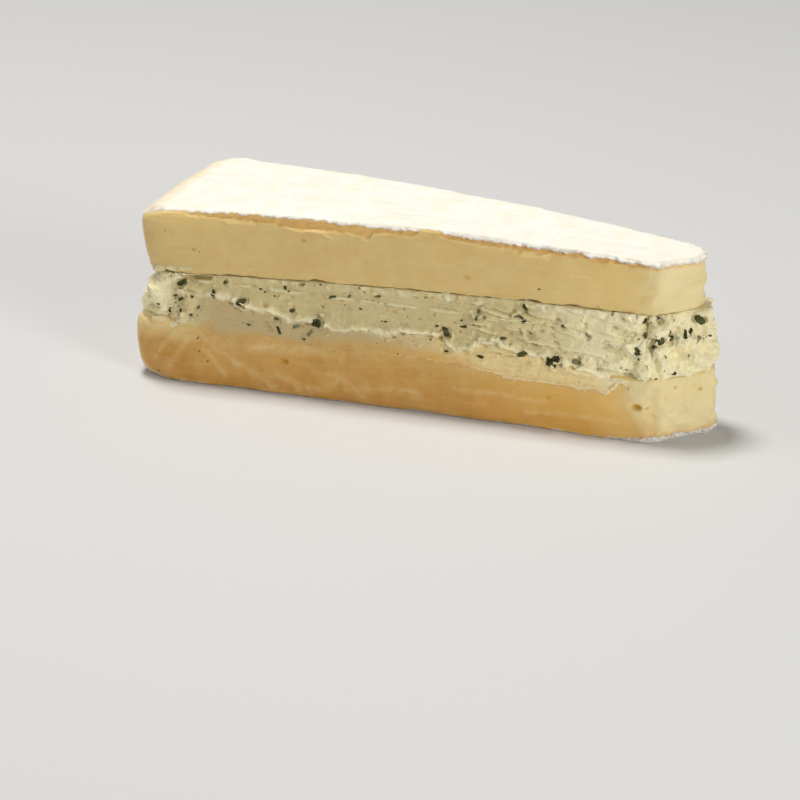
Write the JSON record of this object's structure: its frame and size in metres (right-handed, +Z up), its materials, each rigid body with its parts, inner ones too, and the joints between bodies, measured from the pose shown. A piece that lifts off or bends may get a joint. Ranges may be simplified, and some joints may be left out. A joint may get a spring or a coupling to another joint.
{
  "type": "herb-filled brie wedge",
  "caption": "Long wedge of soft white-rinded cheese, split level and filled with herbed cream cheese, cut across at the nose.",
  "frame": {"origin": "middle of the footprint, on the underside", "axes": "+X from the wheel's rind to the cut nose, +Y from the front cut to the back cut, +Z up"},
  "size_m": [0.1788, 0.0532, 0.0595],
  "materials": {
    "lower_paste": "satin pale golden cheese paste with a white bloomy rind",
    "herb_cream": "matt cream cheese with green herb flecks",
    "upper_paste": "satin pale yellow cheese paste with a white bloomy rind"
  },
  "bodies": {
    "root": {"lower_brie": "lower_paste", "herb_filling": "herb_cream", "upper_brie": "upper_paste"}
  },
  "joints": []
}
